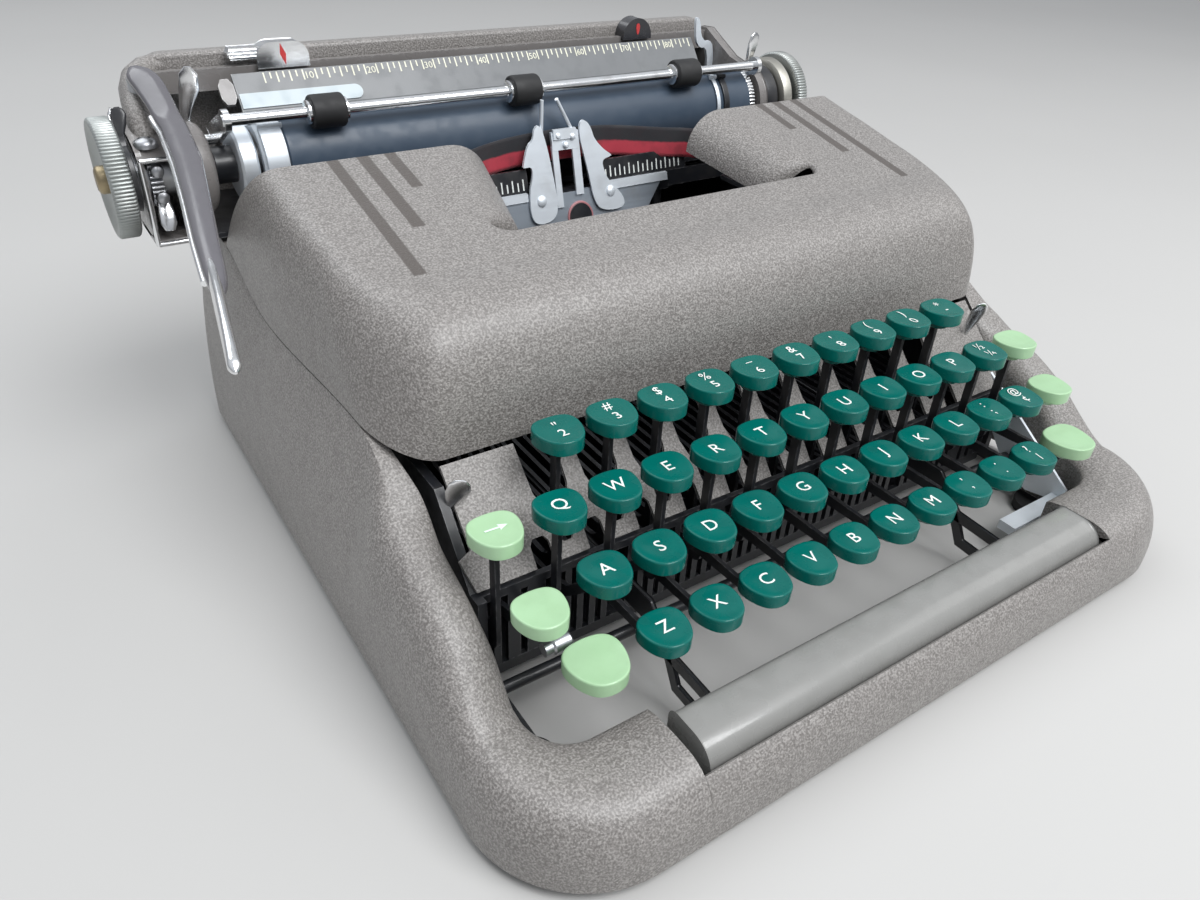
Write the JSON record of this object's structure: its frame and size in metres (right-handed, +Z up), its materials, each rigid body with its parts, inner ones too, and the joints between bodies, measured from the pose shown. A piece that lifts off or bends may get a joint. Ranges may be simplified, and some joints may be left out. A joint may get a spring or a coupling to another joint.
{
  "type": "portable typewriter",
  "caption": "Low desk-top typewriter with a crinkle-enamelled shell, a lift-up ribbon cover, rows of round green keys, a space bar and a sliding carriage with platen and return lever.",
  "frame": {"origin": "on the table plane, under the middle of the shell's width and depth", "axes": "+X along the platen to the typist's right, +Y from the keyboard to the rear, +Z up"},
  "size_m": [0.3292, 0.305, 0.156],
  "materials": {
    "crinkle_enamel": "wrinkle-textured stove enamel",
    "carriage_enamel": "smooth satin enamel",
    "black_enamel": "smooth semi-gloss black enamel",
    "table_enamel": "smooth satin enamel with a printed scale",
    "steel": "bright machined steel",
    "nickel": "polished nickel plate",
    "knob_alloy": "satin, knurled on the knob rims",
    "platen_rubber": "matte, ground smooth",
    "inked_cloth": "fine woven ribbon, black over red",
    "green_key": "glossy moulded keytop on a black lever",
    "pale_key": "glossy moulded keytop on a black lever",
    "bar_plastic": "glossy moulded bar"
  },
  "bodies": {
    "base": {"body_shell": "crinkle_enamel", "base_frame": "black_enamel", "key_deck": "crinkle_enamel", "fulcrum_rod": "steel", "rubber_feet": "platen_rubber", "type_guide": "steel", "ribbon": "inked_cloth"},
    "cover": {"ribbon_cover": "crinkle_enamel"},
    "basket": {"type_segment": "steel", "type_bars": "steel"},
    "carriage": {"carriage_frame": "carriage_enamel", "carriage_hood": "crinkle_enamel", "paper_table": "table_enamel"},
    "platen": {"platen_roller": "platen_rubber", "platen_core": "knob_alloy"},
    "lever": {"return_lever": "carriage_enamel", "lever_tip": "nickel"},
    "bail": {"paper_bail": "nickel"},
    "bail_rollers": {"bail_rollers": "platen_rubber"},
    "margin_left": {"margin_stop_left": "nickel"},
    "margin_right": {"margin_stop_right": "black_enamel"},
    "line_selector": {"line_selector": "black_enamel"},
    "paper_release": {"paper_release": "nickel"},
    "spool_left": {"spool_left": "black_enamel"},
    "spool_right": {"spool_right": "black_enamel"},
    "mainspring": {"mainspring_drum": "steel"},
    "backspace_key": {"backspace_key": "pale_key"},
    "lock_key": {"lock_key": "pale_key"},
    "tab_key": {"tab_key": "pale_key"},
    "margin_key": {"margin_key": "pale_key"},
    "shift_keys": {"shift_keys": "pale_key"},
    "space_bar": {"space_bar": "bar_plastic"},
    "letter_q": {"letter_q": "green_key"},
    "letter_w": {"letter_w": "green_key"},
    "letter_e": {"letter_e": "green_key"},
    "letter_r": {"letter_r": "green_key"},
    "letter_t": {"letter_t": "green_key"},
    "letter_y": {"letter_y": "green_key"},
    "letter_u": {"letter_u": "green_key"},
    "letter_i": {"letter_i": "green_key"},
    "letter_o": {"letter_o": "green_key"},
    "letter_p": {"letter_p": "green_key"},
    "letter_a": {"letter_a": "green_key"},
    "letter_s": {"letter_s": "green_key"},
    "letter_d": {"letter_d": "green_key"},
    "letter_f": {"letter_f": "green_key"},
    "letter_g": {"letter_g": "green_key"},
    "letter_h": {"letter_h": "green_key"},
    "letter_j": {"letter_j": "green_key"},
    "letter_k": {"letter_k": "green_key"},
    "letter_l": {"letter_l": "green_key"},
    "letter_z": {"letter_z": "green_key"},
    "letter_x": {"letter_x": "green_key"},
    "letter_c": {"letter_c": "green_key"},
    "letter_v": {"letter_v": "green_key"},
    "letter_b": {"letter_b": "green_key"},
    "letter_n": {"letter_n": "green_key"},
    "letter_m": {"letter_m": "green_key"},
    "number_keys": {"number_keys": "green_key"},
    "mark_keys": {"mark_keys": "green_key"}
  },
  "joints": [
    {"name": "cover_hinge", "type": "hinge", "parent": "base", "child": "cover", "pos_m": [0, -0.04, 0.08], "axis": [1, 0, 0], "range_deg": [0, 45]},
    {"name": "carriage_slide", "type": "slide", "parent": "base", "child": "carriage", "axis": [-1, 0, 0], "range_m": [-0.1, 0.1]},
    {"name": "platen_turn", "type": "hinge", "parent": "carriage", "child": "platen", "pos_m": [0, 0.1045, 0.121], "axis": [1, 0, 0], "continuous": true},
    {"name": "carriage_return_swing", "type": "hinge", "parent": "carriage", "child": "lever", "pos_m": [-0.154, 0.118, 0.15], "axis": [0, 0, 1], "range_deg": [0, 22], "stiffness_Nm_per_rad": 0.1, "springref_deg": -5.73},
    {"name": "bail_swing", "type": "hinge", "parent": "carriage", "child": "bail", "pos_m": [0, 0.121, 0.126], "axis": [-1, 0, 0], "range_deg": [0, 35]},
    {"name": "key_space_bar", "type": "hinge", "parent": "base", "child": "space_bar", "pos_m": [0, 0.05, 0.058], "axis": [1, 0, 0], "range_deg": [0, 2.6], "stiffness_Nm_per_rad": 1, "springref_deg": -11.46},
    {"name": "key_shift", "type": "hinge", "parent": "base", "child": "shift_keys", "pos_m": [0, 0.05, 0.058], "axis": [1, 0, 0], "range_deg": [0, 4.2], "stiffness_Nm_per_rad": 0.6, "springref_deg": -5.73},
    {"name": "type_basket_drop", "type": "slide", "parent": "base", "child": "basket", "axis": [0, 0, -1], "range_m": [0, 0.0066], "stiffness_N_per_m": 300, "springref_m": -0.015},
    {"name": "key_backspace", "type": "hinge", "parent": "base", "child": "backspace_key", "pos_m": [0, 0.05, 0.058], "axis": [1, 0, 0], "range_deg": [0, 4.2], "stiffness_Nm_per_rad": 0.3, "springref_deg": -5.73},
    {"name": "key_lock", "type": "hinge", "parent": "base", "child": "lock_key", "pos_m": [0, 0.05, 0.058], "axis": [1, 0, 0], "range_deg": [0, 2.4], "stiffness_Nm_per_rad": 0.3, "springref_deg": -5.73},
    {"name": "key_tab", "type": "hinge", "parent": "base", "child": "tab_key", "pos_m": [0, 0.05, 0.058], "axis": [1, 0, 0], "range_deg": [0, 4.2], "stiffness_Nm_per_rad": 0.3, "springref_deg": -5.73},
    {"name": "key_margin", "type": "hinge", "parent": "base", "child": "margin_key", "pos_m": [0, 0.05, 0.058], "axis": [1, 0, 0], "range_deg": [0, 4.2], "stiffness_Nm_per_rad": 0.3, "springref_deg": -5.73},
    {"name": "margin_left_slide", "type": "slide", "parent": "carriage", "child": "margin_left", "axis": [1, 0, 0], "range_m": [-0.015, 0.08]},
    {"name": "margin_right_slide", "type": "slide", "parent": "carriage", "child": "margin_right", "axis": [-1, 0, 0], "range_m": [-0.03, 0.06]},
    {"name": "line_selector_turn", "type": "hinge", "parent": "carriage", "child": "line_selector", "pos_m": [-0.164, 0.1045, 0.121], "axis": [1, 0, 0], "range_deg": [-12, 12]},
    {"name": "paper_release_swing", "type": "hinge", "parent": "carriage", "child": "paper_release", "pos_m": [0, 0.1285, 0.118], "axis": [-1, 0, 0], "range_deg": [0, 12]},
    {"name": "spool_left_turn", "type": "hinge", "parent": "base", "child": "spool_left", "pos_m": [-0.095, 0.038, 0.11], "axis": [0, 0, 1], "continuous": true},
    {"name": "spool_right_turn", "type": "hinge", "parent": "base", "child": "spool_right", "pos_m": [0.095, 0.038, 0.11], "axis": [0, 0, 1], "continuous": true},
    {"name": "roller_turn", "type": "hinge", "parent": "bail", "child": "bail_rollers", "pos_m": [0, 0.09203, 0.13949], "axis": [1, 0, 0], "continuous": true},
    {"name": "mainspring_turn", "type": "hinge", "parent": "base", "child": "mainspring", "pos_m": [-0.09, 0.122, 0.062], "axis": [0, 1, 0], "range_deg": [-330, 330]},
    {"name": "key_numbers", "type": "hinge", "parent": "base", "child": "number_keys", "pos_m": [0, 0.05, 0.058], "axis": [1, 0, 0], "range_deg": [0, 4.2], "stiffness_Nm_per_rad": 3, "springref_deg": -5.73},
    {"name": "key_marks", "type": "hinge", "parent": "base", "child": "mark_keys", "pos_m": [0, 0.05, 0.058], "axis": [1, 0, 0], "range_deg": [0, 4.2], "stiffness_Nm_per_rad": 1.8, "springref_deg": -5.73},
    {"name": "key_letter_q", "type": "hinge", "parent": "base", "child": "letter_q", "pos_m": [0, 0.05, 0.058], "axis": [1, 0, 0], "range_deg": [0, 4.2], "stiffness_Nm_per_rad": 0.3, "springref_deg": -5.73},
    {"name": "key_letter_w", "type": "hinge", "parent": "base", "child": "letter_w", "pos_m": [0, 0.05, 0.058], "axis": [1, 0, 0], "range_deg": [0, 4.2], "stiffness_Nm_per_rad": 0.3, "springref_deg": -5.73},
    {"name": "key_letter_e", "type": "hinge", "parent": "base", "child": "letter_e", "pos_m": [0, 0.05, 0.058], "axis": [1, 0, 0], "range_deg": [0, 4.2], "stiffness_Nm_per_rad": 0.3, "springref_deg": -5.73},
    {"name": "key_letter_r", "type": "hinge", "parent": "base", "child": "letter_r", "pos_m": [0, 0.05, 0.058], "axis": [1, 0, 0], "range_deg": [0, 4.2], "stiffness_Nm_per_rad": 0.3, "springref_deg": -5.73},
    {"name": "key_letter_t", "type": "hinge", "parent": "base", "child": "letter_t", "pos_m": [0, 0.05, 0.058], "axis": [1, 0, 0], "range_deg": [0, 4.2], "stiffness_Nm_per_rad": 0.3, "springref_deg": -5.73},
    {"name": "key_letter_y", "type": "hinge", "parent": "base", "child": "letter_y", "pos_m": [0, 0.05, 0.058], "axis": [1, 0, 0], "range_deg": [0, 4.2], "stiffness_Nm_per_rad": 0.3, "springref_deg": -5.73},
    {"name": "key_letter_u", "type": "hinge", "parent": "base", "child": "letter_u", "pos_m": [0, 0.05, 0.058], "axis": [1, 0, 0], "range_deg": [0, 4.2], "stiffness_Nm_per_rad": 0.3, "springref_deg": -5.73},
    {"name": "key_letter_i", "type": "hinge", "parent": "base", "child": "letter_i", "pos_m": [0, 0.05, 0.058], "axis": [1, 0, 0], "range_deg": [0, 4.2], "stiffness_Nm_per_rad": 0.3, "springref_deg": -5.73},
    {"name": "key_letter_o", "type": "hinge", "parent": "base", "child": "letter_o", "pos_m": [0, 0.05, 0.058], "axis": [1, 0, 0], "range_deg": [0, 4.2], "stiffness_Nm_per_rad": 0.3, "springref_deg": -5.73},
    {"name": "key_letter_p", "type": "hinge", "parent": "base", "child": "letter_p", "pos_m": [0, 0.05, 0.058], "axis": [1, 0, 0], "range_deg": [0, 4.2], "stiffness_Nm_per_rad": 0.3, "springref_deg": -5.73},
    {"name": "key_letter_a", "type": "hinge", "parent": "base", "child": "letter_a", "pos_m": [0, 0.05, 0.058], "axis": [1, 0, 0], "range_deg": [0, 4.2], "stiffness_Nm_per_rad": 0.3, "springref_deg": -5.73},
    {"name": "key_letter_s", "type": "hinge", "parent": "base", "child": "letter_s", "pos_m": [0, 0.05, 0.058], "axis": [1, 0, 0], "range_deg": [0, 4.2], "stiffness_Nm_per_rad": 0.3, "springref_deg": -5.73},
    {"name": "key_letter_d", "type": "hinge", "parent": "base", "child": "letter_d", "pos_m": [0, 0.05, 0.058], "axis": [1, 0, 0], "range_deg": [0, 4.2], "stiffness_Nm_per_rad": 0.3, "springref_deg": -5.73},
    {"name": "key_letter_f", "type": "hinge", "parent": "base", "child": "letter_f", "pos_m": [0, 0.05, 0.058], "axis": [1, 0, 0], "range_deg": [0, 4.2], "stiffness_Nm_per_rad": 0.3, "springref_deg": -5.73},
    {"name": "key_letter_g", "type": "hinge", "parent": "base", "child": "letter_g", "pos_m": [0, 0.05, 0.058], "axis": [1, 0, 0], "range_deg": [0, 4.2], "stiffness_Nm_per_rad": 0.3, "springref_deg": -5.73},
    {"name": "key_letter_h", "type": "hinge", "parent": "base", "child": "letter_h", "pos_m": [0, 0.05, 0.058], "axis": [1, 0, 0], "range_deg": [0, 4.2], "stiffness_Nm_per_rad": 0.3, "springref_deg": -5.73},
    {"name": "key_letter_j", "type": "hinge", "parent": "base", "child": "letter_j", "pos_m": [0, 0.05, 0.058], "axis": [1, 0, 0], "range_deg": [0, 4.2], "stiffness_Nm_per_rad": 0.3, "springref_deg": -5.73},
    {"name": "key_letter_k", "type": "hinge", "parent": "base", "child": "letter_k", "pos_m": [0, 0.05, 0.058], "axis": [1, 0, 0], "range_deg": [0, 4.2], "stiffness_Nm_per_rad": 0.3, "springref_deg": -5.73},
    {"name": "key_letter_l", "type": "hinge", "parent": "base", "child": "letter_l", "pos_m": [0, 0.05, 0.058], "axis": [1, 0, 0], "range_deg": [0, 4.2], "stiffness_Nm_per_rad": 0.3, "springref_deg": -5.73},
    {"name": "key_letter_z", "type": "hinge", "parent": "base", "child": "letter_z", "pos_m": [0, 0.05, 0.058], "axis": [1, 0, 0], "range_deg": [0, 4.2], "stiffness_Nm_per_rad": 0.3, "springref_deg": -5.73},
    {"name": "key_letter_x", "type": "hinge", "parent": "base", "child": "letter_x", "pos_m": [0, 0.05, 0.058], "axis": [1, 0, 0], "range_deg": [0, 4.2], "stiffness_Nm_per_rad": 0.3, "springref_deg": -5.73},
    {"name": "key_letter_c", "type": "hinge", "parent": "base", "child": "letter_c", "pos_m": [0, 0.05, 0.058], "axis": [1, 0, 0], "range_deg": [0, 4.2], "stiffness_Nm_per_rad": 0.3, "springref_deg": -5.73},
    {"name": "key_letter_v", "type": "hinge", "parent": "base", "child": "letter_v", "pos_m": [0, 0.05, 0.058], "axis": [1, 0, 0], "range_deg": [0, 4.2], "stiffness_Nm_per_rad": 0.3, "springref_deg": -5.73},
    {"name": "key_letter_b", "type": "hinge", "parent": "base", "child": "letter_b", "pos_m": [0, 0.05, 0.058], "axis": [1, 0, 0], "range_deg": [0, 4.2], "stiffness_Nm_per_rad": 0.3, "springref_deg": -5.73},
    {"name": "key_letter_n", "type": "hinge", "parent": "base", "child": "letter_n", "pos_m": [0, 0.05, 0.058], "axis": [1, 0, 0], "range_deg": [0, 4.2], "stiffness_Nm_per_rad": 0.3, "springref_deg": -5.73},
    {"name": "key_letter_m", "type": "hinge", "parent": "base", "child": "letter_m", "pos_m": [0, 0.05, 0.058], "axis": [1, 0, 0], "range_deg": [0, 4.2], "stiffness_Nm_per_rad": 0.3, "springref_deg": -5.73}
  ],
  "couplings": [
    {"joint": "type_basket_drop", "follows": "key_shift", "m_per_rad": 0.0887},
    {"joint": "spool_right_turn", "follows": "spool_left_turn", "ratio": 1},
    {"joint": "mainspring_turn", "follows": "carriage_slide", "rad_per_m": 55.5}
  ]
}
